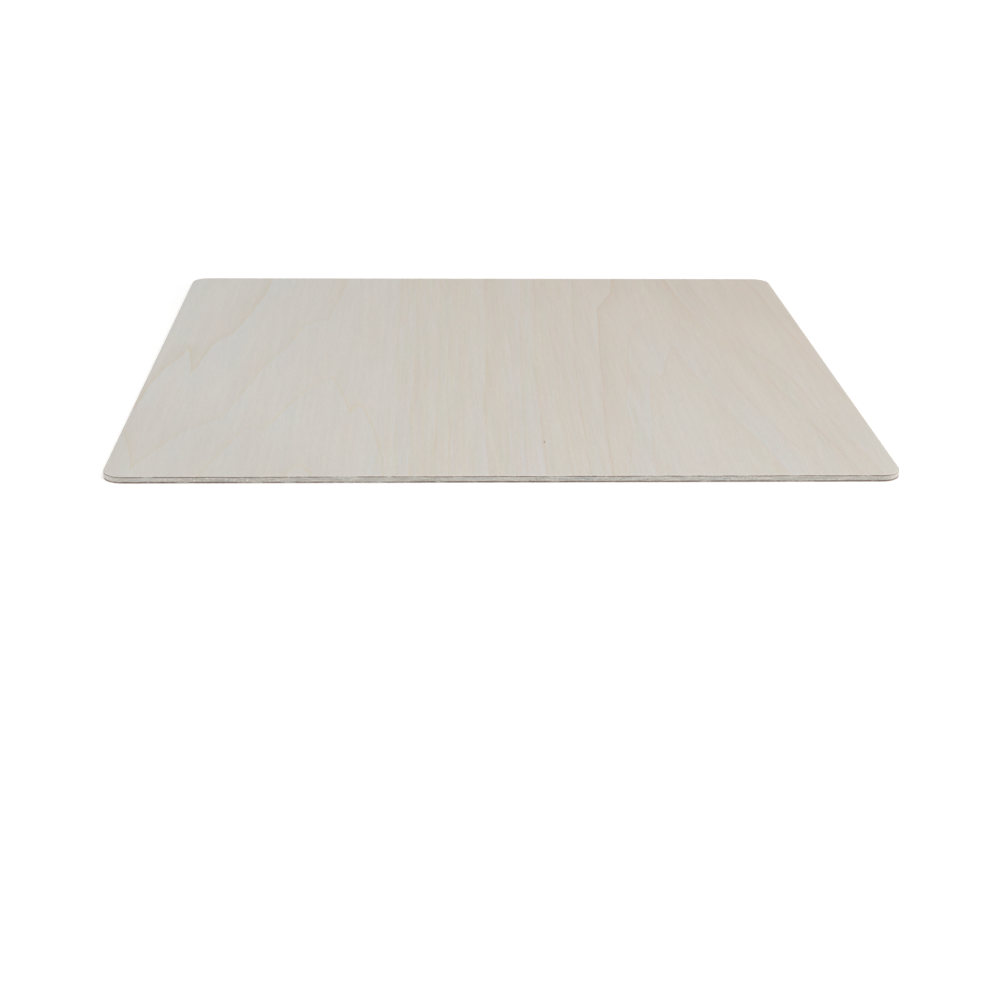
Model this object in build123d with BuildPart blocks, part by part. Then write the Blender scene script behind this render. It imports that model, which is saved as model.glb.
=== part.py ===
"""Three-ply plywood sheet with rounded corners, lying flat with its face veneer up.

The origin is at the middle of the underside, with +Z up. The grain of the two outer
veneers runs along Y, and the grain of the core veneer runs across them, along X.
All sizes are in millimetres.
"""

import os

from build123d import *

# The sheet's outline
sheet_width = 300.0
sheet_length = 300.0
corner_radius = 8.0

# The plies, from the underside up, and the sanded arris round both outer veneers
back_thickness = 0.5
core_thickness = 2.0
face_thickness = 0.5
arris_radius = 0.2

# Heights of the two glue lines above the underside
lower_glue_line = back_thickness
upper_glue_line = lower_glue_line + core_thickness


def veneer_outline():
    """Draws the outline that all three veneers are trimmed to in one cut."""
    RectangleRounded(sheet_width, sheet_length, corner_radius)


# Back veneer, with the arris on its lower side
with BuildPart() as back_veneer:
    with BuildSketch(Plane.XY):
        veneer_outline()
    extrude(amount=back_thickness)
    underside = back_veneer.faces().sort_by(Axis.Z)[0]
    fillet(underside.edges(), radius=arris_radius)

# Core veneer, square at both glue lines
with BuildPart() as core_veneer:
    with BuildSketch(Plane.XY.offset(lower_glue_line)):
        veneer_outline()
    extrude(amount=core_thickness)

# Face veneer, with the arris on its upper side
with BuildPart() as face_veneer:
    with BuildSketch(Plane.XY.offset(upper_glue_line)):
        veneer_outline()
    extrude(amount=face_thickness)
    show_side = face_veneer.faces().sort_by(Axis.Z)[-1]
    fillet(show_side.edges(), radius=arris_radius)

# One file for each veneer, named as its node
back_veneer.part.label = "back_veneer"
core_veneer.part.label = "core_veneer"
face_veneer.part.label = "face_veneer"

os.makedirs("parts", exist_ok=True)
for veneer in (back_veneer, core_veneer, face_veneer):
    export_step(veneer.part, f"parts/{veneer.part.label}.step")
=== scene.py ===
"""A thin three-ply plywood sheet with rounded corners, lying flat on a white studio floor.

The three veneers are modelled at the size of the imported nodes, with real sawn rims and
sanded arrises, and get their grain, growth rings and glue lines from materials.
Lengths are in metres. The outer veneers' grain runs along Y and the core's along X.
"""

from math import pi, radians

import bmesh
import bpy
import numpy as np
from mathutils import Matrix, Vector


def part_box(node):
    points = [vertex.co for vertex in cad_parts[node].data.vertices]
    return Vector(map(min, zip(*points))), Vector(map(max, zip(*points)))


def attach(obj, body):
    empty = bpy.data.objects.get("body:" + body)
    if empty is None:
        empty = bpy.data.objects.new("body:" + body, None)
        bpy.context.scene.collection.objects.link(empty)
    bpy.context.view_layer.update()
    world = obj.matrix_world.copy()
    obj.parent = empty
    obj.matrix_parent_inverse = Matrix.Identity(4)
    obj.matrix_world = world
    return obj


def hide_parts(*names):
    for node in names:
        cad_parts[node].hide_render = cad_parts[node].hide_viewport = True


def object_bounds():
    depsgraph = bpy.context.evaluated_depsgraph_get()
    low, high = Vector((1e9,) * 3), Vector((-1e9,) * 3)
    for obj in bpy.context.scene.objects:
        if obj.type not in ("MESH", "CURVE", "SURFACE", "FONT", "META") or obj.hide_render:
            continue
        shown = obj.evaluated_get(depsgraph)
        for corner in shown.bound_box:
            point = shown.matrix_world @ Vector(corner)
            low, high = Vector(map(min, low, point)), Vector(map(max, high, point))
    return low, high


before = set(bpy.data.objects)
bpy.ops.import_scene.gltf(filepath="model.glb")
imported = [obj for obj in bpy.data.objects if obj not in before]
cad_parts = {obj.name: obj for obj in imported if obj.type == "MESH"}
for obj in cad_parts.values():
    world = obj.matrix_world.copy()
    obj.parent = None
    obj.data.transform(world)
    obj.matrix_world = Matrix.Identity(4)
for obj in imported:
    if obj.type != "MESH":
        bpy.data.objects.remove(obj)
packed_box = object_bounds()
mm = 0.001

# The sheet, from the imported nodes
sheet_low, sheet_high = packed_box
core_low, core_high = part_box("core_veneer")
lower_glue_height = core_low.z
upper_glue_height = core_high.z
corner_radius = 8 * mm
arris_radius = 0.2 * mm

# How finely the veneers are modelled
corner_steps = 24
run_cuts = 23
veneer_rows = 2
core_rows = 7
arris_steps = 3
glue_edge_break = 0.03 * mm
border_width = 1 * mm
squares_across = 144
square_side = (sheet_high.x - sheet_low.x - 2 * corner_radius) / squares_across

# Where the camera stood for the photograph, in the sheet's frame
camera_place = Vector((-29.3, -793.4, 239.1)) * mm
camera_pitch_down = radians(20.901)
camera_turn_right = radians(2.440)
camera_roll = radians(0.696)
camera_focal_share = 1.8402
sensor_width = 36

# Growth lines of the face veneer: a ring number, and points along the line in mm
face_growth_lines = [
    (1, [(-109, 150), (-110, 118), (-113, 96), (-115.5, 70), (-119.5, 45), (-125, 33),
         (-127.5, 22), (-129, 2), (-131.5, -26), (-133.5, -8), (-135.5, 8), (-137.5, 21),
         (-140, 2), (-144.5, -14), (-147, -35), (-149, -70)]),
    (2, [(-70, 150), (-72, 112), (-75, 85), (-76, 69), (-83, 64), (-87.5, 54), (-92, 25),
         (-97.5, 4), (-102, -15), (-106, -42), (-109.5, -70), (-112.5, -79), (-119, -91),
         (-125, -97), (-130.5, -111), (-135.5, -127), (-140, -144), (-142.5, -127),
         (-146.5, -109), (-149.5, -97)]),
    (3, [(-113.5, -150), (-110, -130), (-106, -112), (-102.5, -98), (-98.5, -91),
         (-94.5, -99), (-91, -86), (-88.5, -74), (-84.5, -59), (-80.5, -46), (-76, -35),
         (-70.5, -26), (-67.5, -38), (-64, -54), (-61, -77), (-58, -66), (-54.5, -73),
         (-52, -89), (-49, -108), (-47, -128), (-46, -150)]),
    (4, [(-82, -150), (-80, -142), (-77.5, -139), (-75, -142), (-73, -150)]),
    (2, [(-41.5, 150), (-43, 48), (-42, 0), (-42, -60), (-41, -150)]),
    (1, [(-33.5, 150), (-34.5, 48), (-34.5, 0), (-35.5, -60), (-36, -150)]),
    (0, [(-28, 150), (-28.5, 48), (-29, 0), (-30.5, -60), (-31.5, -150)]),
    (-1, [(-21.5, 150), (-23, 48), (-23.5, 0), (-25, -60), (-27, -150)]),
    (-2, [(-14.5, 150), (-18, 48), (-18.7, 0), (-19.5, -60), (-21.5, -150)]),
    (-3, [(-9, 150), (-11, 48), (-13.5, 0), (-14.5, -60), (-16, -150)]),
    (-4, [(1, 150), (-1, 48), (-2.5, 0), (-5.5, -60), (-6, -150)]),
    (-5, [(10.5, 150), (7, 48), (5.5, 0), (4, -60), (0.5, -150)]),
    (-6, [(20.5, 150), (15, 48), (13, 0), (11, -60), (8, -150)]),
    (-7, [(27, 150), (22, 48), (19, 0), (17.5, -60), (15.5, -150)]),
    (-8, [(35, 150), (30, 48), (28.5, 0), (26.5, -60), (25, -150)]),
    (-9, [(47, 150), (40, 48), (37, 0), (34.5, -60), (32, -150)]),
    (-10, [(68, 150), (64, 118), (55, 88), (52.5, 48), (49.5, 12), (47.5, -22), (45, -58),
           (42.5, -90), (40, -150)]),
    (-10, [(96, 150), (97.5, 120), (100, 90), (103, 66), (109, 38), (115.5, 10), (120, -20),
           (121.5, -39), (126, -66), (127.5, -90), (132, -119), (135, -150)]),
    (-11, [(46, -150), (49.5, -124), (52.5, -99), (54, -58), (58, -28), (61, 0), (64, 28),
           (68, 48), (72.5, 64), (79, 73), (86, 79), (91, 68), (95, 45), (99, 25), (102, 0),
           (103.5, -30), (106, -50), (109, -72), (111.5, -92), (115, -114), (119, -130),
           (121.5, -150)]),
    (-12, [(57, -150), (58, -128), (62, -90), (65, -57), (68, -28), (70.5, -19), (74, -26),
           (76, -14), (79, 2), (81.5, 14), (84, 24), (86, 10), (87.5, -10), (89.5, -30),
           (92, -43), (94, -65), (98, -90), (104, -122), (107.5, -150)]),
    (-13, [(67, -150), (72.5, -138), (82.5, -130), (94, -136), (99, -150)]),
    (-9, [(107, 150), (108, 123), (111, 90), (113, 57), (117, 30), (123, 8), (129, -15),
          (132, -40), (133, -65), (136.5, -90), (140, -122), (142.5, -150)]),
    (-8, [(138.5, 150), (141.5, 112), (143, 60), (145, 10), (147.5, -30), (149, -55)]),
]

# Places between the lines, where the rings would otherwise stray over a whole number
face_growth_between = [
    (0.4, (-130, 110)), (0.2, (-145, 130)), (0.6, (-137, 50)), (0.8, (-148, 20)),
    (1.3, (-138, -20)), (1.3, (-142, -50)), (1.5, (-135, -75)), (1.6, (-148, -85)),
    (-7.7, (149, 110)), (-7.7, (149.5, 60)), (-8.3, (130, 60)), (-8.3, (137, 0)),
]


# Growth rings

def points_along(line, step):
    """Gives points along a line of straight runs, about a step apart, ends included."""
    points = [line[0]]
    for start, end in zip(line, line[1:]):
        start, end = np.array(start, float), np.array(end, float)
        count = max(1, round(np.linalg.norm(end - start) / step))
        points += [tuple(start + (end - start) * (k + 1) / count) for k in range(count)]
    return points


def face_rings():
    """Stretches a smooth skin over the growth lines, and returns it as a function.

    Its height at a place in mm is the ring number there. Rings are drawn out along
    the grain, so lengths along Y count for less.
    """
    along_share = 0.28
    looseness = 0.02
    point_step = 6
    sites = [(level, point) for level, line in face_growth_lines
             for point in points_along(line, point_step)]
    sites += face_growth_between
    levels = np.array([level for level, point in sites], float)
    places = np.array([point for level, point in sites]) * (1, along_share)

    def pull(square):
        return np.sqrt(square + 1)

    count = len(places)
    gaps = ((places[:, None] - places[None]) ** 2).sum(-1)
    flat_part = np.c_[np.ones(count), places]
    system = np.block([[pull(gaps) - looseness * np.eye(count), flat_part],
                       [flat_part.T, np.zeros((3, 3))]])
    weights = np.linalg.solve(system, np.r_[levels, 0, 0, 0])

    def ring_number(x, y):
        y = y * along_share
        height = weights[-3] + weights[-2] * x + weights[-1] * y
        for weight, (site_x, site_y) in zip(weights, places):
            height = height + weight * pull((x - site_x) ** 2 + (y - site_y) ** 2)
        return height

    return ring_number


def back_rings():
    """Returns the back veneer's ring number at a place in mm: tall arches that wander a little."""
    arch_middle = -22
    arch_gap = 74
    arch_spread = 0.019

    def ring_number(x, y):
        wander = 0.22 * np.sin(x / 31 + 1.1) * np.cos(y / 97 + 0.4)
        sway = 0.1 * np.sin(y / 38)
        return (y + arch_spread * (x - arch_middle) ** 2) / arch_gap + wander + sway

    return ring_number


def draw_rings(piece, ring_number):
    """Stores ring number and its slopes per mm, across and along the grain, at each point."""
    count = len(piece.data.vertices)
    places = np.empty(count * 3)
    piece.data.vertices.foreach_get("co", places)
    x, y = places.reshape(-1, 3)[:, :2].T / mm
    here = ring_number(x, y)
    nearby = 0.5
    across = (ring_number(x + nearby, y) - here) / nearby
    along = (ring_number(x, y + nearby) - here) / nearby
    growth = piece.data.attributes.new("growth", "FLOAT_VECTOR", "POINT")
    growth.data.foreach_set("vector", np.c_[here, across, along].ravel())


# Modelling

def choose(piece, kind, rule):
    """In edit mode, selects only the verts, edges or faces that a rule picks."""
    bpy.ops.mesh.select_all(action="DESELECT")
    bpy.ops.mesh.select_mode(type={"verts": "VERT", "edges": "EDGE", "faces": "FACE"}[kind])
    shape = bmesh.from_edit_mesh(piece.data)
    for item in getattr(shape, kind):
        if rule(item):
            item.select = True
    shape.select_flush_mode()
    bmesh.update_edit_mesh(piece.data)


def is_level(edge):
    """Tells an edge that lies flat."""
    return abs(edge.verts[0].co.z - edge.verts[1].co.z) < 1e-6


def is_upright(edge):
    """Tells an edge that stands straight up."""
    return (edge.verts[0].co - edge.verts[1].co).xy.length < 1e-6


def rim_edges_at(height):
    """A rule for the outline's edges at a height."""
    def rule(edge):
        at_height = all(abs(vert.co.z - height) < 1e-6 for vert in edge.verts)
        return at_height and any(abs(face.normal.z) < 0.5 for face in edge.link_faces)
    return rule


def cut_blank(name, node):
    """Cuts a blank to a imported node's box, rounds its corners and divides its outline."""
    low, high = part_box(node)
    bpy.ops.object.select_all(action="DESELECT")
    bpy.ops.mesh.primitive_cube_add(size=1, location=(low + high) / 2, scale=high - low)
    blank = bpy.context.object
    blank.name = name
    bpy.ops.object.transform_apply(location=True, rotation=True, scale=True)
    bpy.ops.object.mode_set(mode="EDIT")
    choose(blank, "edges", is_upright)
    bpy.ops.mesh.bevel(offset=corner_radius, segments=corner_steps, affect="EDGES")
    # The straight runs are cut into short lengths, and those into pieces of half a millimetre
    for shortest in (100 * mm, 5 * mm):
        choose(blank, "edges", lambda edge: is_level(edge) and edge.calc_length() > shortest)
        bpy.ops.mesh.subdivide(number_cuts=run_cuts)
    return blank


def break_edge(blank, height, radius, steps):
    """Rounds the outline's edge at a height, as sanding does."""
    choose(blank, "edges", rim_edges_at(height))
    bpy.ops.mesh.bevel(offset=radius, segments=steps, affect="EDGES")


def divide_rim(blank, cuts):
    """Divides the upright rim into rows."""
    longest = max(edge.calc_length() for edge in bmesh.from_edit_mesh(blank.data).edges
                  if is_upright(edge))
    choose(blank, "edges",
           lambda edge: is_upright(edge) and edge.calc_length() > 0.9 * longest)
    bpy.ops.mesh.subdivide(number_cuts=cuts)


def grid_face(blank, height):
    """Sets a border inside an outer face and cuts the rest into small squares."""
    choose(blank, "faces",
           lambda face: abs(face.calc_center_median().z - height) < 1e-6 and len(face.verts) > 4)
    bpy.ops.mesh.inset(thickness=border_width)
    bpy.ops.mesh.hide(unselected=True)
    half_count = int((sheet_high.x - border_width) / square_side)
    for axis in (Vector((1, 0, 0)), Vector((0, 1, 0))):
        for step in range(-half_count, half_count + 1):
            bpy.ops.mesh.select_all(action="SELECT")
            bpy.ops.mesh.bisect(plane_co=axis * step * square_side, plane_no=axis,
                                threshold=0.05 * mm)
    bpy.ops.mesh.reveal(select=False)


def weigh(piece, name, rule):
    """Makes a vertex group whose weight at each place, from 0 to 1, a rule gives."""
    group = piece.vertex_groups.new(name=name)
    for vert in piece.data.vertices:
        weight = rule(vert)
        if weight > 0:
            group.add([vert.index], weight, "REPLACE")


def wear(piece, name, group, cell, depth, contrast=1.0):
    """Wears a group of the surface inwards by up to a depth, in patches of a cell's size."""
    texture = bpy.data.textures.new(name, "CLOUDS")
    texture.noise_scale = 1
    texture.contrast = contrast
    texture.use_clamp = True
    guide = bpy.data.objects.new(name, None)
    guide.scale = cell
    bpy.context.collection.objects.link(guide)
    bpy.context.view_layer.update()
    worn = piece.modifiers.new(name, "DISPLACE")
    worn.texture = texture
    worn.texture_coords = "OBJECT"
    worn.texture_coords_object = guide
    worn.vertex_group = group
    worn.strength = -depth
    worn.mid_level = 0
    bpy.context.view_layer.objects.active = piece
    bpy.ops.object.modifier_apply(modifier=name)
    bpy.data.objects.remove(guide)
    bpy.data.textures.remove(texture)


def finish_piece(piece, node, material):
    """Smooths a piece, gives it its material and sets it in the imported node's place."""
    piece.data.materials.append(material)
    bpy.ops.object.select_all(action="DESELECT")
    piece.select_set(True)
    bpy.context.view_layer.objects.active = piece
    bpy.ops.object.shade_smooth_by_angle(angle=radians(40))
    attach(piece, "root")
    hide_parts(node)


def is_on_rim(vert):
    """Tells a vert of the sawn rim or its broken edges from one inside a flat face."""
    return abs(vert.normal.z) < 0.98


def across_grain_y(vert):
    """How squarely the rim cuts fibres that run along Y, from 0 to 1."""
    return vert.normal.y ** 2 if is_on_rim(vert) else 0


def across_grain_x(vert):
    """How squarely the rim cuts fibres that run along X, from 0 to 1."""
    return vert.normal.x ** 2 if is_on_rim(vert) else 0


def outer_ply(name, node, outer_height, glue_height, ring_number):
    """Models the face or back veneer: sanded arris, sawn rim and a squared outer face."""
    ply = cut_blank(name, node)
    break_edge(ply, outer_height, arris_radius, arris_steps)
    break_edge(ply, glue_height, glue_edge_break, 1)
    divide_rim(ply, veneer_rows)
    grid_face(ply, outer_height)
    bpy.ops.object.mode_set(mode="OBJECT")

    def is_on_arris(vert):
        is_near_outer = abs(vert.co.z - outer_height) < 1.2 * arris_radius
        return 1 if is_near_outer and 0.02 < abs(vert.normal.z) < 0.999 else 0

    weigh(ply, "sawn across", across_grain_y)
    weigh(ply, "sawn along", across_grain_x)
    weigh(ply, "arris", is_on_arris)
    wear(ply, "saw ripple", "sawn across", cell=(0.9 * mm, 0.9 * mm, 40 * mm), depth=0.05 * mm)
    wear(ply, "long fibres", "sawn along", cell=(6 * mm, 9 * mm, 0.25 * mm), depth=0.04 * mm)
    wear(ply, "torn fibres", "arris", cell=(1.1 * mm, 1.4 * mm, 4 * mm), depth=0.09 * mm,
         contrast=2.5)
    draw_rings(ply, ring_number)
    return ply


def core_ply():
    """Models the core veneer: square at both glue lines, with a sawn rim in fine rows."""
    ply = cut_blank("core_ply", "core_veneer")
    for height in (lower_glue_height, upper_glue_height):
        break_edge(ply, height, glue_edge_break, 1)
    divide_rim(ply, core_rows)
    bpy.ops.object.mode_set(mode="OBJECT")
    weigh(ply, "sawn along", across_grain_y)
    weigh(ply, "sawn across", across_grain_x)
    wear(ply, "long fibres", "sawn along", cell=(9 * mm, 6 * mm, 0.35 * mm), depth=0.08 * mm,
         contrast=1.5)
    wear(ply, "cut fibre ends", "sawn across", cell=(0.7 * mm, 0.7 * mm, 0.5 * mm),
         depth=0.06 * mm)
    return ply


# Shader nodes

def put(tree, kind, sockets=None, **settings):
    """Adds a shader node, and feeds or sets its inputs by name or number."""
    node = tree.nodes.new("ShaderNode" + kind)
    for name, value in settings.items():
        setattr(node, name, value)
    for name, value in (sockets or {}).items():
        if isinstance(value, bpy.types.NodeSocket):
            tree.links.new(value, node.inputs[name])
        else:
            node.inputs[name].default_value = value
    return node


def work_out(tree, operation, *values):
    """Does one sum on numbers or sockets."""
    return put(tree, "Math", dict(enumerate(values)), operation=operation).outputs[0]


def ease(tree, value, start, end, low=0.0, high=1.0):
    """Runs smoothly from low to high while a value goes from start to end."""
    sockets = {"Value": value, "From Min": start, "From Max": end, "To Min": low, "To Max": high}
    return put(tree, "MapRange", sockets, interpolation_type="SMOOTHSTEP").outputs["Result"]


def tint(tree, amount, first, second, mode="MIX"):
    """Mixes two colours: a Mix node takes the amount as input 0, the colours as 6 and 7."""
    mix = put(tree, "Mix", data_type="RGBA", blend_type=mode)
    for index, value in ((0, amount), (6, first), (7, second)):
        if isinstance(value, bpy.types.NodeSocket):
            tree.links.new(value, mix.inputs[index])
        elif index == 0:
            mix.inputs[index].default_value = value
        else:
            mix.inputs[index].default_value = (*value, 1)
    return mix.outputs[2]


def tint_value(tree, amount, first, second):
    """Mixes two numbers: a Mix node takes the amount as input 0, the numbers as 2 and 3."""
    return put(tree, "Mix", {0: amount, 2: first, 3: second}, data_type="FLOAT").outputs[0]


def shade(tree, colour, value, low, high):
    """Darkens and lightens a colour from low to high times itself, as a value goes 0 to 1."""
    level = ease(tree, value, 0.0, 1.0, low, high)
    grey = put(tree, "CombineColor", {0: level, 1: level, 2: level}).outputs[0]
    return tint(tree, 1.0, colour, grey, "MULTIPLY")


def noise(tree, position, cell, seed, detail=2.0, roughness=0.55):
    """Cloudy noise whose patches are as large as a cell (x, y, z)."""
    if not isinstance(cell, bpy.types.NodeSocket):
        cell = put(tree, "CombineXYZ", dict(enumerate(cell))).outputs[0]
    scaled = put(tree, "VectorMath", {0: position, 1: cell}, operation="DIVIDE").outputs[0]
    sockets = {"Vector": scaled, "W": seed, "Scale": 1.0, "Detail": detail,
               "Roughness": roughness}
    return put(tree, "TexNoise", sockets, noise_dimensions="4D").outputs[0]


def new_effect(name, takes, gives):
    """Starts a shader node group, and returns its tree, what it takes and what it gives."""
    tree = bpy.data.node_groups.new(name, "ShaderNodeTree")
    for way, sockets in (("INPUT", takes), ("OUTPUT", gives)):
        for socket, kind in sockets.items():
            tree.interface.new_socket(socket, in_out=way, socket_type="NodeSocket" + kind)
    taken = tree.nodes.new("NodeGroupInput").outputs
    given = tree.nodes.new("NodeGroupOutput").inputs
    return tree, taken, given


# Effects that several woods share

def make_fibre_streaks():
    """Fine streaks along Y, as wide and long as asked, and dark flecks among them."""
    takes = {"Position": "Vector", "Width": "Float", "Length": "Float", "Seed": "Float"}
    tree, taken, given = new_effect("fibre streaks", takes, {"Streaks": "Float", "Flecks": "Float"})
    cell = put(tree, "CombineXYZ", {0: taken["Width"], 1: taken["Length"], 2: taken["Width"]})
    streaks = noise(tree, taken["Position"], cell.outputs[0], taken["Seed"], 3.0)
    tree.links.new(ease(tree, streaks, 0.3, 0.7), given["Streaks"])
    fleck_seed = work_out(tree, "ADD", taken["Seed"], 31.0)
    flecks = noise(tree, taken["Position"], cell.outputs[0], fleck_seed, 1.0)
    tree.links.new(ease(tree, flecks, 0.62, 0.74), given["Flecks"])
    return tree


def make_growth_rings():
    """Growth rings from the growth attribute: the line that ends a ring, the late wood that
    darkens towards it, the early wood that follows it, finer bands, and the ring's number.

    Lines that cross the grain are toothed and drawn out, as the fibres pull them along Y.
    Flat cut is 1 where the rings are wide, and 0 where they are packed close together.
    """
    takes = {"Growth": "Vector", "Position": "Vector", "Tooth length": "Float",
             "Line width": "Float", "Late width": "Float", "Early width": "Float",
             "Seed": "Float"}
    gives = {"Line": "Float", "Late wood": "Float", "Early wood": "Float", "Bands": "Float",
             "Flat cut": "Float", "Ring": "Float"}
    tree, taken, given = new_effect("growth rings", takes, gives)
    growth = put(tree, "SeparateXYZ", {0: taken["Growth"]}).outputs
    teeth = noise(tree, taken["Position"], (1.6 * mm, 14 * mm, 1), taken["Seed"], 3.0, 0.65)
    pull = work_out(tree, "MULTIPLY", work_out(tree, "SUBTRACT", teeth, 0.5), taken["Tooth length"])
    pulled = work_out(tree, "MULTIPLY_ADD", growth[2], pull, growth[0])
    waver = noise(tree, taken["Position"], (9 * mm, 50 * mm, 1), taken["Seed"], 2.0)
    waver_width = 1.6
    sideways = work_out(tree, "MULTIPLY", work_out(tree, "SUBTRACT", waver, 0.5), waver_width)
    depth = work_out(tree, "MULTIPLY_ADD", growth[1], sideways, pulled)
    ring = work_out(tree, "FLOOR", depth)
    through = work_out(tree, "SUBTRACT", depth, ring)
    tree.links.new(ring, given["Ring"])

    along_share = 0.35
    least_slope = 0.01
    across = work_out(tree, "MULTIPLY", growth[1], growth[1])
    along = work_out(tree, "MULTIPLY", growth[2], along_share)
    slope = work_out(tree, "SQRT", work_out(tree, "MULTIPLY_ADD", along, along, across))
    slope = work_out(tree, "MAXIMUM", slope, least_slope)
    before = work_out(tree, "DIVIDE", work_out(tree, "SUBTRACT", 1.0, through), slope)
    after = work_out(tree, "DIVIDE", through, slope)
    tree.links.new(ease(tree, before, 0.0, taken["Line width"], 1.0, 0.0), given["Line"])
    for name, way, width in (("Late wood", before, "Late width"), ("Early wood", after, "Early width")):
        falloff = work_out(tree, "DIVIDE", way, taken[width])
        falloff = work_out(tree, "EXPONENT", work_out(tree, "MULTIPLY", falloff, -1.0))
        tree.links.new(falloff, given[name])
    tree.links.new(ease(tree, slope, 0.05, 0.13, 1.0, 0.0), given["Flat cut"])

    north = put(tree, "SeparateXYZ", {0: taken["Position"]}).outputs[1]
    layers = put(tree, "CombineXYZ", {0: depth, 1: north}).outputs[0]
    bands = noise(tree, layers, (0.2, 90 * mm, 1), taken["Seed"], 4.0, 0.65)
    packed = ease(tree, slope, 0.03, 0.09)
    tree.links.new(tint_value(tree, packed, 0.5, ease(tree, bands, 0.3, 0.7)), given["Bands"])
    return tree


def make_cut_direction():
    """Tells the rim from the flat faces, and how squarely the rim cuts the fibres."""
    tree, taken, given = new_effect("cut direction", {"Normal": "Vector", "Grain": "Vector"},
                                    {"Rim": "Float", "End grain": "Float"})
    upright = put(tree, "SeparateXYZ", {0: taken["Normal"]}).outputs[2]
    flat = work_out(tree, "ABSOLUTE", upright)
    tree.links.new(ease(tree, flat, 0.8, 0.55), given["Rim"])
    facing = put(tree, "VectorMath", {0: taken["Normal"], 1: taken["Grain"]},
                 operation="DOT_PRODUCT").outputs["Value"]
    tree.links.new(work_out(tree, "MULTIPLY", facing, facing), given["End grain"])
    return tree


def make_glue_line():
    """A thin glue line at a height, which wavers and thins out in places, and its stain."""
    takes = {"Position": "Vector", "Height": "Float", "Thickness": "Float", "Seed": "Float"}
    tree, taken, given = new_effect("glue line", takes, {"Glue": "Float", "Stain": "Float"})
    height = put(tree, "SeparateXYZ", {0: taken["Position"]}).outputs[2]
    waver = noise(tree, taken["Position"], (16 * mm, 16 * mm, 1), taken["Seed"], 3.0)
    waver = work_out(tree, "MULTIPLY", work_out(tree, "SUBTRACT", waver, 0.5), 0.3 * mm)
    line_height = work_out(tree, "ADD", taken["Height"], waver)
    away = work_out(tree, "ABSOLUTE", work_out(tree, "SUBTRACT", height, line_height))
    uneven = noise(tree, taken["Position"], (8 * mm, 8 * mm, 1), taken["Seed"], 5.0, 0.7)
    share = ease(tree, uneven, 0.37, 0.54, 0.15, 1.0)
    reach = work_out(tree, "MULTIPLY", share, taken["Thickness"])
    reach = work_out(tree, "ADD", reach, 0.01 * mm)
    inner = work_out(tree, "MULTIPLY", reach, 0.5)
    tree.links.new(ease(tree, away, inner, reach, 1.0, 0.0), given["Glue"])
    stained = ease(tree, away, 0.0, work_out(tree, "MULTIPLY", taken["Thickness"], 2.5), 1.0, 0.0)
    tree.links.new(work_out(tree, "MULTIPLY", stained, share), given["Stain"])
    return tree


def make_fibre_ends():
    """Open fibre ends on cut end grain, and slanting knife checks from the peeling, both hollows that
    get painted shade.
    """
    takes = {"Position": "Vector", "Spacing": "Float", "Seed": "Float"}
    tree, taken, given = new_effect("fibre ends", takes, {"Shaded pores": "Float", "Shaded checks": "Float"})
    cell = put(tree, "CombineXYZ", dict.fromkeys(range(3), taken["Spacing"])).outputs[0]
    scaled = put(tree, "VectorMath", {0: taken["Position"], 1: cell}, operation="DIVIDE")
    spots = put(tree, "TexVoronoi", {"Vector": scaled.outputs[0], "W": taken["Seed"], "Scale": 1.0},
                voronoi_dimensions="4D").outputs["Distance"]
    tree.links.new(ease(tree, spots, 0.15, 0.4, 1.0, 0.0), given["Shaded pores"])
    axes = put(tree, "SeparateXYZ", {0: taken["Position"]}).outputs
    round_rim = work_out(tree, "ADD", axes[0], axes[1])
    slanted = work_out(tree, "MULTIPLY_ADD", axes[2], 1.4, round_rim)
    ladder = put(tree, "CombineXYZ", {0: slanted}).outputs[0]
    checks = noise(tree, ladder, (0.9 * mm, 1, 1), taken["Seed"], 2.0)
    fade = noise(tree, taken["Position"], (3 * mm, 3 * mm, 0.8 * mm), taken["Seed"], 1.0)
    sharp = work_out(tree, "ABSOLUTE", work_out(tree, "SUBTRACT", checks, 0.5))
    hairline = ease(tree, sharp, 0.0, 0.012, 1.0, 0.0)
    tree.links.new(work_out(tree, "MULTIPLY", hairline, ease(tree, fade, 0.5, 0.6)), given["Shaded checks"])
    return tree


def make_sanding():
    """Faint scratches that a sanding belt leaves along the grain, and patches of sheen."""
    tree, taken, given = new_effect("sanding", {"Position": "Vector", "Seed": "Float"},
                                    {"Scratches": "Float", "Sheen patches": "Float"})
    scratches = noise(tree, taken["Position"], (0.16 * mm, 40 * mm, 1), taken["Seed"], 1.0)
    tree.links.new(ease(tree, scratches, 0.6, 0.75), given["Scratches"])
    patches = noise(tree, taken["Position"], (12 * mm, 120 * mm, 1), taken["Seed"], 2.0)
    tree.links.new(ease(tree, patches, 0.35, 0.65), given["Sheen patches"])
    return tree


def make_saw_fuzz():
    """Pale tufts and small pit hollows that a saw leaves on a rim, each hollow darkened with painted
    shade, in rougher and smoother stretches.
    """
    tree, taken, given = new_effect("saw fuzz", {"Position": "Vector", "Seed": "Float"},
                                    {"Tufts": "Float", "Shaded pit": "Float"})
    stretch = noise(tree, taken["Position"], (24 * mm, 24 * mm, 1), taken["Seed"], 2.0)
    rough = ease(tree, stretch, 0.4, 0.62, 0.35, 1.0)
    cell = (0.6 * mm, 0.6 * mm, 0.36 * mm)
    tufts = noise(tree, taken["Position"], cell, taken["Seed"], 1.0)
    shaded_pit = noise(tree, taken["Position"], cell, work_out(tree, "ADD", taken["Seed"], 17.0), 1.0)
    for name, grains in (("Tufts", tufts), ("Shaded pit", shaded_pit)):
        tree.links.new(work_out(tree, "MULTIPLY", ease(tree, grains, 0.56, 0.68), rough), given[name])
    return tree


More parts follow.
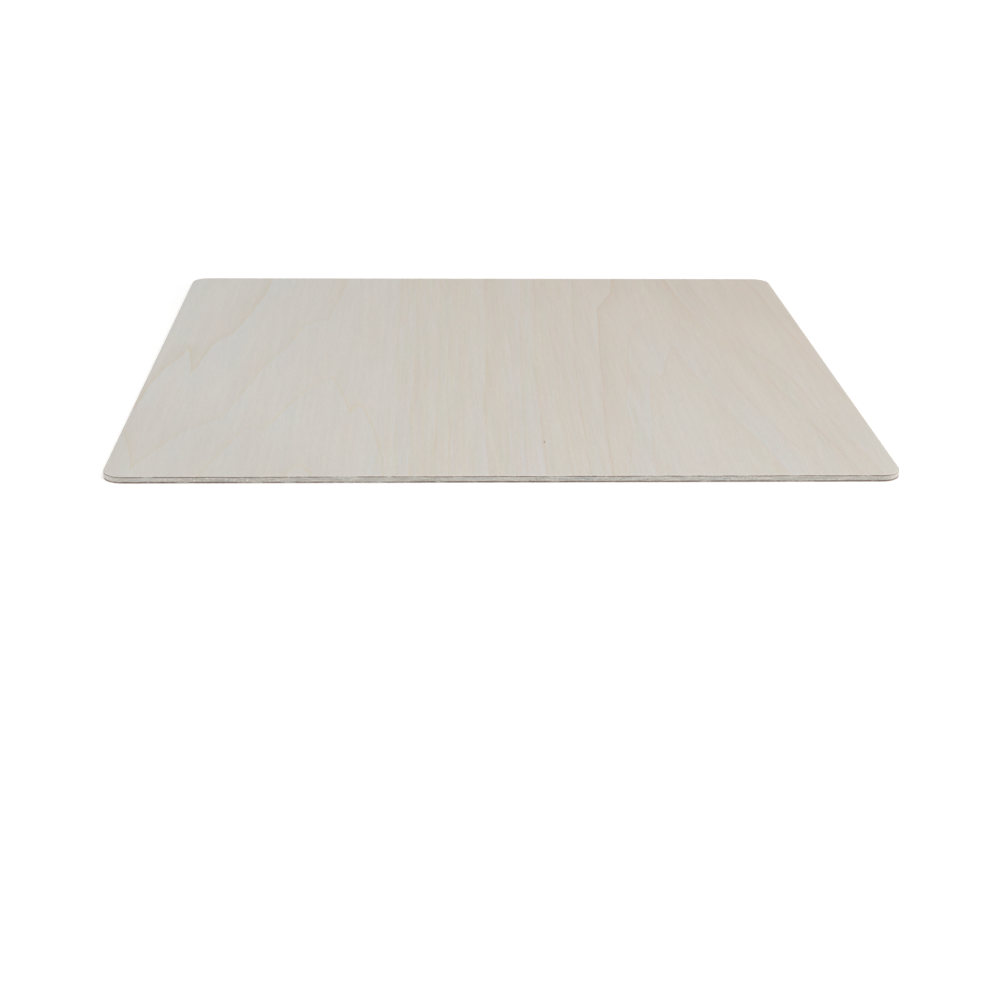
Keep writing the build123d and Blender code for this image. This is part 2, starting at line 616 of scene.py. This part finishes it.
fibre_streaks = make_fibre_streaks()
growth_rings = make_growth_rings()
cut_direction = make_cut_direction()
glue_line = make_glue_line()
fibre_ends = make_fibre_ends()
sanding = make_sanding()
saw_fuzz = make_saw_fuzz()


# Woods

def new_wood(name):
    """Starts a wood material, and returns it with its tree, shader and position."""
    wood = bpy.data.materials.new(name)
    wood.use_nodes = True
    tree = wood.node_tree
    shader = tree.nodes["Principled BSDF"]
    shader.inputs["Specular IOR Level"].default_value = 0.2
    position = put(tree, "TexCoord").outputs["Object"]
    return wood, tree, shader, position


def fibres(tree, position, width, length, seed):
    """Places fibre streaks of a width and a length."""
    sockets = {"Position": position, "Width": width, "Length": length, "Seed": seed}
    return put(tree, "Group", sockets, node_tree=fibre_streaks).outputs


def rim_wood(tree, position, grain_position, grain, long_colour, end_colour, seed):
    """Colours a sawn rim: streaked along the fibres, and pored where it cuts them, with painted shade
    in its pores, knife checks and saw pits.
    """
    normal = put(tree, "NewGeometry").outputs["Normal"]
    cut = put(tree, "Group", {"Normal": normal, "Grain": grain}, node_tree=cut_direction)
    streaks = fibres(tree, grain_position, 0.22 * mm, 4 * mm, seed)["Streaks"]
    ends = put(tree, "Group", {"Position": position, "Spacing": 0.34 * mm, "Seed": seed},
               node_tree=fibre_ends)
    fuzz = put(tree, "Group", {"Position": position, "Seed": seed}, node_tree=saw_fuzz)
    long_side = shade(tree, long_colour, streaks, 0.82, 1.14)
    # Painted shade darkens the open fibre ends and the knife checks
    end_side = shade(tree, end_colour, ends.outputs["Shaded pores"], 1.04, 0.86)
    check_shading = work_out(tree, "MULTIPLY", ends.outputs["Shaded checks"], 0.45)
    end_side = tint(tree, check_shading, end_side, check_shade_brown)
    colour = tint(tree, cut.outputs["End grain"], long_side, end_side)
    # Painted shade darkens the saw's small hollows
    colour = shade(tree, colour, fuzz.outputs["Shaded pit"], 1.0, 0.55)
    colour = shade(tree, colour, fuzz.outputs["Tufts"], 1.0, 1.55)
    closed = work_out(tree, "SUBTRACT", 1.0, ends.outputs["Shaded pores"])
    relief = tint_value(tree, cut.outputs["End grain"], streaks, closed)
    relief = work_out(tree, "ADD", relief, fuzz.outputs["Tufts"])
    relief = work_out(tree, "SUBTRACT", relief, fuzz.outputs["Shaded pit"])
    return colour, cut.outputs["Rim"], relief


def add_glue(tree, position, colour, glue_seams):
    """Draws glue seams on a wood's colour, each with its seed, height and thickness."""
    for seed, height, thickness in glue_seams:
        glue = put(tree, "Group", {"Position": position, "Height": height,
                                   "Thickness": thickness, "Seed": seed}, node_tree=glue_line)
        stain = work_out(tree, "MULTIPLY", glue.outputs["Stain"], 0.3)
        colour = tint(tree, stain, colour, glue_stain)
        film = work_out(tree, "MULTIPLY", glue.outputs["Glue"], 0.92)
        colour = tint(tree, film, colour, glue_brown)
    return colour


# The core's colours along the fibres and across them, and how rough every sawn rim is. The colour
# across the fibres is paler, partly for the pale fibre ends and partly as painted light where the rim
# turns to the sides and corners
core_long_colour = (0.54, 0.515, 0.465)
core_end_colour_and_side_light = (0.67, 0.635, 0.575)
rim_roughness = 0.8

# Glue, painted shade in knife checks, and pin knots
glue_brown = (0.125, 0.06, 0.044)
glue_stain = (0.42, 0.31, 0.25)
check_shade_brown = (0.28, 0.23, 0.18)
pin_brown = (0.34, 0.25, 0.17)

# Each glue line's seed, height and thickness
# The lower glue line is drawn thicker than the upper one: partly glue, partly a painted shadow of a gap
# under the back veneer
lower_glue_and_gap_shadow = (3.0, lower_glue_height, 0.24 * mm)
upper_glue = (8.0, upper_glue_height, 0.17 * mm)

# Each ring's strengths of tan late wood, pale early wood and growth line, by its number
face_ring_tones = {
    -14: (0.1, 0.3, 0.2), -13: (0.3, 0.2, 0.6), -12: (0.1, 1.0, 1.0), -11: (1.0, 0.0, 1.0),
    -10: (0.6, 0.5, 0.9), -9: (0.5, 0.3, 0.9), -8: (0.5, 0.3, 1.0), -7: (0.1, 0.9, 1.0),
    -6: (0.0, 1.0, 0.8), -5: (1.0, 0.1, 0.6), -4: (0.2, 0.4, 0.6), -3: (0.3, 0.2, 0.8),
    -2: (0.2, 0.3, 0.9), -1: (0.2, 0.2, 0.9), 0: (1.0, 0.2, 0.8), 1: (0.55, 1.0, 0.6),
    2: (0.1, 0.6, 1.0), 3: (0.3, 0.7, 1.0), 4: (0.2, 0.1, 0.7),
}
back_ring_tones = {
    -3: (0.5, 0.5, 0.8), -2: (0.8, 0.4, 1.0), -1: (0.6, 0.7, 0.8), 0: (0.9, 0.3, 1.0),
    1: (0.5, 0.8, 0.7), 2: (0.7, 0.5, 0.9), 3: (1.0, 0.6, 1.0), 4: (0.6, 0.3, 0.8),
    5: (0.8, 0.6, 1.0), 6: (0.5, 0.5, 0.8), 7: (0.7, 0.4, 0.9),
}


def tones_by_ring(tree, ring, tones):
    """Looks up a ring's strengths of late wood, early wood and line, by its number."""
    first, count = min(tones), len(tones)
    start = work_out(tree, "ADD", ring, 0.5 - first)
    lookup = put(tree, "ValToRGB", {0: work_out(tree, "DIVIDE", start, float(count))})
    ramp = lookup.color_ramp
    ramp.interpolation = "CONSTANT"
    while len(ramp.elements) < count:
        ramp.elements.new(1.0)
    for index, number in enumerate(sorted(tones)):
        ramp.elements[index].position = index / count
        ramp.elements[index].color = (*tones[number], 1)
    return put(tree, "SeparateColor", {0: lookup.outputs[0]}).outputs


# What each feature of the figure does to the wood's colour where it is strongest
late_tint = (0.967, 0.935, 0.898)
early_tint = (0.985, 1.004, 1.035)
left_line_tint = (1.01, 0.963, 0.825)
right_line_tint = (0.998, 0.932, 0.885)
band_tint = (0.99, 0.972, 0.946)
stripe_tint = (0.99, 0.97, 0.935)
grey_tint = (0.93, 0.97, 1.02)
rose_tint = (1.011, 0.991, 0.996)
olive_tint = (0.991, 1.007, 0.992)
blue_tint = (0.997, 1.0, 1.015)
straw_tint = (1.002, 1.0, 0.983)

# How far the teeth, line, late wood and early wood of a ring reach, in mm
tooth_length = 7.0
line_width = 1.2
late_width = 6.5
early_width = 14.0

# Shares of their full strength that lines and late wood keep in places
faded_line = 0.6
packed_line_back = 0.45
packed_line_front = 0.8
packed_late_wood = 0.35
far_right_rings = 0.85
flat_cut_streaks = 0.3

# How much warmer a wood grows with each metre to the right and back, in its drifts, and in
# two corners, where it also darkens: partly darker wood, partly painted shade of light falling off
warmth_to_right = 2.2
warmth_to_back = 0.9
drift_warmth = 0.9
corner_warmth = 12.0
corner_painted_shade = 0.972

# Faint hues in the wood, as streaks of a width and length that run from one tint to another
hue_streaks = (
    (1.0 * mm, 24 * mm, rose_tint, olive_tint),
    (4.5 * mm, 80 * mm, rose_tint, olive_tint),
    (1.3 * mm, 30 * mm, blue_tint, straw_tint),
    (6.0 * mm, 100 * mm, blue_tint, straw_tint),
)


def ground_colour(tree, position, seed, cool, warm):
    """Runs a wood from cool at the left and front to warm at the right and back, in drifts.

    Towards the back right and front left corners it grows warmer still, and a little darker: partly
    darker wood, partly painted shade of light falling off.
    """
    axes = put(tree, "SeparateXYZ", {0: position}).outputs
    drift = noise(tree, position, (11 * mm, 130 * mm, 1), seed, 3.0)
    drift = work_out(tree, "SUBTRACT", drift, 0.5)
    warmth = work_out(tree, "MULTIPLY_ADD", drift, drift_warmth, 0.5)
    warmth = work_out(tree, "MULTIPLY_ADD", axes[0], warmth_to_right, warmth)
    warmth = work_out(tree, "MULTIPLY_ADD", axes[1], warmth_to_back, warmth)
    towards_corner = work_out(tree, "MULTIPLY", axes[0], axes[1])
    warmth = work_out(tree, "MULTIPLY_ADD", towards_corner, corner_warmth, warmth)
    colour = tint(tree, warmth, cool, warm)
    # Painted shade: the two corners darken a little, partly darker wood and partly light falling off
    shaded_corners = ease(tree, towards_corner, 0.004, 0.014)
    return shade(tree, colour, shaded_corners, 1.0, corner_painted_shade)


def add_rings(tree, position, colour, seed, ring_tones):
    """Draws the growth rings on a wood's colour, and returns it with where it is flat cut."""
    growth = put(tree, "Attribute", attribute_name="growth").outputs["Vector"]
    rings = put(tree, "Group", {"Growth": growth, "Position": position,
                                "Tooth length": tooth_length, "Line width": line_width,
                                "Late width": late_width, "Early width": early_width,
                                "Seed": seed}, node_tree=growth_rings).outputs
    flat_cut = rings["Flat cut"]
    axes = put(tree, "SeparateXYZ", {0: position}).outputs
    late_strength, early_strength, line_strength = tones_by_ring(tree, rings["Ring"], ring_tones)
    right_fade = ease(tree, axes[0], 80 * mm, 115 * mm, 1.0, far_right_rings)

    late = work_out(tree, "MULTIPLY", rings["Late wood"], late_strength)
    late = work_out(tree, "MULTIPLY", late, ease(tree, flat_cut, 0.0, 1.0, packed_late_wood, 1.0))
    late = work_out(tree, "MULTIPLY", late, right_fade)
    colour = tint(tree, late, colour, late_tint, "MULTIPLY")
    early = work_out(tree, "MULTIPLY", rings["Early wood"], early_strength)
    colour = tint(tree, early, colour, early_tint, "MULTIPLY")

    # The lines fade in places, and packed ones are fainter, most of all at the back
    fading = noise(tree, position, (3 * mm, 30 * mm, 1), seed + 2, 2.0)
    faded = ease(tree, fading, 0.3, 0.6, faded_line, 1.0)
    line = work_out(tree, "MULTIPLY", rings["Line"], faded)
    line = work_out(tree, "MULTIPLY", line, line_strength)
    packed_strength = ease(tree, axes[1], 50 * mm, -60 * mm, packed_line_back, packed_line_front)
    cut_strength = ease(tree, flat_cut, 0.0, 1.0, packed_strength, 1.0)
    line = work_out(tree, "MULTIPLY", line, cut_strength)
    line = work_out(tree, "MULTIPLY", line, right_fade)
    rightness = ease(tree, axes[0], -30 * mm, 30 * mm)
    line_tint = tint(tree, rightness, left_line_tint, right_line_tint)
    colour = tint(tree, line, colour, line_tint, "MULTIPLY")
    colour = tint(tree, rings["Bands"], colour, band_tint, "MULTIPLY")
    return colour, flat_cut


def add_stripes(tree, position, colour, seed, flat_cut):
    """Draws stripes and faint hues on a wood's colour, fainter where flat cut, and mottling."""
    stripes = fibres(tree, position, 0.9 * mm, 45 * mm, seed + 5)
    broad = fibres(tree, position, 2.6 * mm, 80 * mm, seed + 7)
    streaked = ease(tree, flat_cut, 0.0, 1.0, 1.0, flat_cut_streaks)
    striped = work_out(tree, "MULTIPLY", stripes["Streaks"], streaked)
    colour = tint(tree, striped, colour, stripe_tint, "MULTIPLY")
    for number, (width, length, first, second) in enumerate(hue_streaks):
        streaks = fibres(tree, position, width, length, seed + 11 + number)["Streaks"]
        hue = tint(tree, streaks, first, second)
        colour = tint(tree, streaked, colour, hue, "MULTIPLY")
    mottling = noise(tree, position, (8 * mm, 24 * mm, 1), seed + 16, 4.0, 0.65)
    hue = tint(tree, ease(tree, mottling, 0.32, 0.68), rose_tint, olive_tint)
    colour = tint(tree, 1.0, colour, hue, "MULTIPLY")
    colour = shade(tree, colour, stripes["Flecks"], 1.0, 0.98)
    return shade(tree, colour, broad["Streaks"], 0.987, 1.013)


def outer_veneer_wood(name, seed, cool, warm, ring_tones, rim_long, rim_end, glue_seen, pins=()):
    """The face or back veneer: growth rings and fibres on the flat, sawn wood on the rim."""
    wood, tree, shader, position = new_wood(name)
    fine = fibres(tree, position, 0.4 * mm, 7 * mm, seed)
    short = fibres(tree, position, 0.35 * mm, 1.6 * mm, seed + 3)
    colour = ground_colour(tree, position, seed, cool, warm)
    colour, flat_cut = add_rings(tree, position, colour, seed, ring_tones)
    colour = add_stripes(tree, position, colour, seed, flat_cut)
    colour = shade(tree, colour, fine["Streaks"], 0.981, 1.017)
    colour = shade(tree, colour, short["Streaks"], 0.98, 1.018)
    colour = shade(tree, colour, short["Flecks"], 1.0, 0.96)
    for x, y, width, length in pins:
        colour = pin_mark(tree, position, colour, x, y, width, length)

    sawn, rim, relief = rim_wood(tree, position, position, (0, 1, 0), rim_long, rim_end, seed)
    colour = tint(tree, rim, colour, sawn)
    colour = add_glue(tree, position, colour, [glue_seen])
    tree.links.new(colour, shader.inputs["Base Color"])

    finish = put(tree, "Group", {"Position": position, "Seed": seed}, node_tree=sanding).outputs
    rough = ease(tree, finish["Sheen patches"], 0.0, 1.0, 0.64, 0.7)
    rough = work_out(tree, "MULTIPLY_ADD", fine["Streaks"], 0.06, rough)
    tree.links.new(tint_value(tree, rim, rough, rim_roughness), shader.inputs["Roughness"])
    flat_relief = work_out(tree, "MULTIPLY_ADD", finish["Scratches"], -0.3, fine["Streaks"])
    flat_relief = work_out(tree, "ADD", flat_relief, short["Streaks"])
    height = tint_value(tree, rim, work_out(tree, "MULTIPLY", flat_relief, 0.3), relief)
    bump = put(tree, "Bump", {"Height": height, "Strength": 0.6, "Distance": 0.03 * mm})
    tree.links.new(bump.outputs[0], shader.inputs["Normal"])
    return wood


def pin_mark(tree, position, colour, x, y, width, length):
    """A small brown pin knot, drawn out along the grain."""
    away = put(tree, "VectorMath", {0: position, 1: (x, y, 0)}, operation="SUBTRACT").outputs[0]
    shrunk = put(tree, "VectorMath", {0: away, 1: (2 / width, 2 / length, 0)}, operation="MULTIPLY")
    radius = put(tree, "VectorMath", {0: shrunk.outputs[0]}, operation="LENGTH").outputs["Value"]
    return tint(tree, ease(tree, radius, 0.5, 1.2, 0.75, 0.0), colour, pin_brown)


def core_wood():
    """The core veneer: only its sawn rim shows, with both glue lines."""
    wood, tree, shader, position = new_wood("core wood")
    axes = put(tree, "SeparateXYZ", {0: position}).outputs
    turned = put(tree, "CombineXYZ", {0: axes[1], 1: axes[0], 2: axes[2]}).outputs[0]
    colour, _, relief = rim_wood(tree, position, turned, (1, 0, 0), core_long_colour,
                                 core_end_colour_and_side_light, 14.0)
    patches = noise(tree, turned, (0.8 * mm, 30 * mm, 0.8 * mm), 4.0, 2.0)
    colour = shade(tree, colour, patches, 0.9, 1.08)
    greyed = noise(tree, turned, (1 * mm, 18 * mm, 1 * mm), 9.0, 2.0)
    colour = tint(tree, ease(tree, greyed, 0.45, 0.65), colour, grey_tint, "MULTIPLY")
    colour = add_glue(tree, position, colour, [lower_glue_and_gap_shadow, upper_glue])
    tree.links.new(colour, shader.inputs["Base Color"])
    shader.inputs["Roughness"].default_value = rim_roughness
    bump = put(tree, "Bump", {"Height": relief, "Strength": 0.8, "Distance": 0.06 * mm})
    tree.links.new(bump.outputs[0], shader.inputs["Normal"])
    return wood


# The sheet

face_low, face_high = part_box("face_veneer")
back_low, back_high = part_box("back_veneer")
pin_knot = (16.9 * mm, -112 * mm, 0.8 * mm, 3.4 * mm)
face_wood = outer_veneer_wood("face wood", seed=11.0, cool=(0.629, 0.622, 0.599),
                              warm=(0.647, 0.592, 0.534), ring_tones=face_ring_tones,
                              rim_long=(0.6, 0.58, 0.53), rim_end=(0.6, 0.575, 0.53),
                              glue_seen=upper_glue, pins=[pin_knot])
back_wood = outer_veneer_wood("back wood", seed=47.0, cool=(0.605, 0.58, 0.53),
                              warm=(0.61, 0.57, 0.495), ring_tones=back_ring_tones,
                              rim_long=(0.58, 0.555, 0.5), rim_end=(0.58, 0.55, 0.495),
                              glue_seen=lower_glue_and_gap_shadow)

face_ply = outer_ply("face_ply", "face_veneer", face_high.z, face_low.z, face_rings())
finish_piece(face_ply, "face_veneer", face_wood)
finish_piece(core_ply(), "core_veneer", core_wood())
back_ply = outer_ply("back_ply", "back_veneer", back_low.z, back_high.z, back_rings())
finish_piece(back_ply, "back_veneer", back_wood)


# The studio

def white_to_the_camera(tree, seen, lit):
    """Gives one shader to camera, glossy and transmission rays, and another to the light."""
    path = put(tree, "LightPath").outputs
    direct = work_out(tree, "MAXIMUM", path["Is Camera Ray"], path["Is Glossy Ray"])
    direct = work_out(tree, "MAXIMUM", direct, path["Is Transmission Ray"])
    return put(tree, "MixShader", {0: direct, 1: lit, 2: seen}).outputs[0]


def studio_floor():
    """A wide white floor that stops just inside the sheet's outline.

    From below it can be seen through, and the opening lets the underside show.
    """
    size = 6.0
    overlap = 0.4 * mm
    glow_near = 0.3
    glow_far = 0.6
    under_sheet = sheet_high.x - overlap
    bpy.ops.object.select_all(action="DESELECT")
    bpy.ops.mesh.primitive_plane_add(size=size)
    floor = bpy.context.object
    floor.name = "floor"
    bpy.ops.object.mode_set(mode="EDIT")
    bpy.ops.mesh.inset(thickness=size / 2 - under_sheet)
    bpy.ops.mesh.bevel(offset=corner_radius, segments=corner_steps, affect="VERTICES")
    choose(floor, "faces", lambda face: len(face.verts) > 12 and face.calc_area() < 0.1)
    bpy.ops.mesh.delete(type="FACE")
    bpy.ops.object.mode_set(mode="OBJECT")

    paint = bpy.data.materials.new("white floor")
    paint.use_nodes = True
    tree = paint.node_tree
    tree.nodes.remove(tree.nodes["Principled BSDF"])
    lit = put(tree, "BsdfDiffuse", {"Color": (0.8, 0.8, 0.8, 1)}).outputs[0]
    away = put(tree, "VectorMath", {0: put(tree, "TexCoord").outputs["Object"]}, operation="LENGTH")
    strength = ease(tree, away.outputs["Value"], 0.2, 1.4, glow_near, glow_far)
    glow = put(tree, "Emission", {"Color": (1, 1, 1, 1), "Strength": strength}).outputs[0]
    seen = put(tree, "AddShader", {0: lit, 1: glow}).outputs[0]
    top = white_to_the_camera(tree, seen, lit)
    below = put(tree, "NewGeometry").outputs["Backfacing"]
    clear = put(tree, "BsdfTransparent").outputs[0]
    surface = put(tree, "MixShader", {0: below, 1: top, 2: clear}).outputs[0]
    tree.links.new(surface, tree.nodes["Material Output"].inputs["Surface"])
    floor.data.materials.append(paint)


def soft_light():
    """An even white room, one wide soft lamp above the front and a smaller one at each side."""
    world = bpy.data.worlds.new("white studio")
    bpy.context.scene.world = world
    world.use_nodes = True
    tree = world.node_tree
    room_strength = 0.53
    lit = put(tree, "Background", {"Color": (1, 1, 1, 1), "Strength": room_strength}).outputs[0]
    seen = put(tree, "Background", {"Color": (1, 1, 1, 1), "Strength": 1.0}).outputs[0]
    surface = white_to_the_camera(tree, seen, lit)
    tree.links.new(surface, tree.nodes["World Output"].inputs["Surface"])
    soft_lamp("front lamp", place=(0.55, -1.3, 1.5), size=1.5, power=20.5)
    soft_lamp("left lamp", place=(-2.0, -0.3, 0.4), size=1.0, power=14)
    soft_lamp("right lamp", place=(2.0, -0.3, 0.4), size=1.0, power=14)


def soft_lamp(name, place, size, power):
    """Hangs a square lamp that faces the sheet and stays out of the picture."""
    lamp = bpy.data.lights.new(name, "AREA")
    lamp.size = size
    lamp.energy = power
    stand = bpy.data.objects.new(name, lamp)
    stand.location = place
    stand.rotation_euler = stand.location.to_track_quat("Z", "Y").to_euler()
    stand.visible_camera = False
    bpy.context.collection.objects.link(stand)


def photo_camera():
    """The camera where it stood for the photograph, with its lens unshifted."""
    lens = bpy.data.cameras.new("camera")
    lens.sensor_width = sensor_width
    lens.lens = camera_focal_share * sensor_width
    lens.clip_start = 0.01
    lens.clip_end = 100
    camera = bpy.data.objects.new("camera", lens)
    turn = Matrix.Rotation(-camera_turn_right, 4, "Z")
    tilt = Matrix.Rotation(pi / 2 - camera_pitch_down, 4, "X")
    roll = Matrix.Rotation(camera_roll, 4, "Z")
    camera.matrix_world = Matrix.Translation(camera_place) @ turn @ tilt @ roll
    bpy.context.collection.objects.link(camera)
    bpy.context.scene.camera = camera


studio_floor()
soft_light()
photo_camera()
bpy.context.scene.view_settings.view_transform = "Standard"
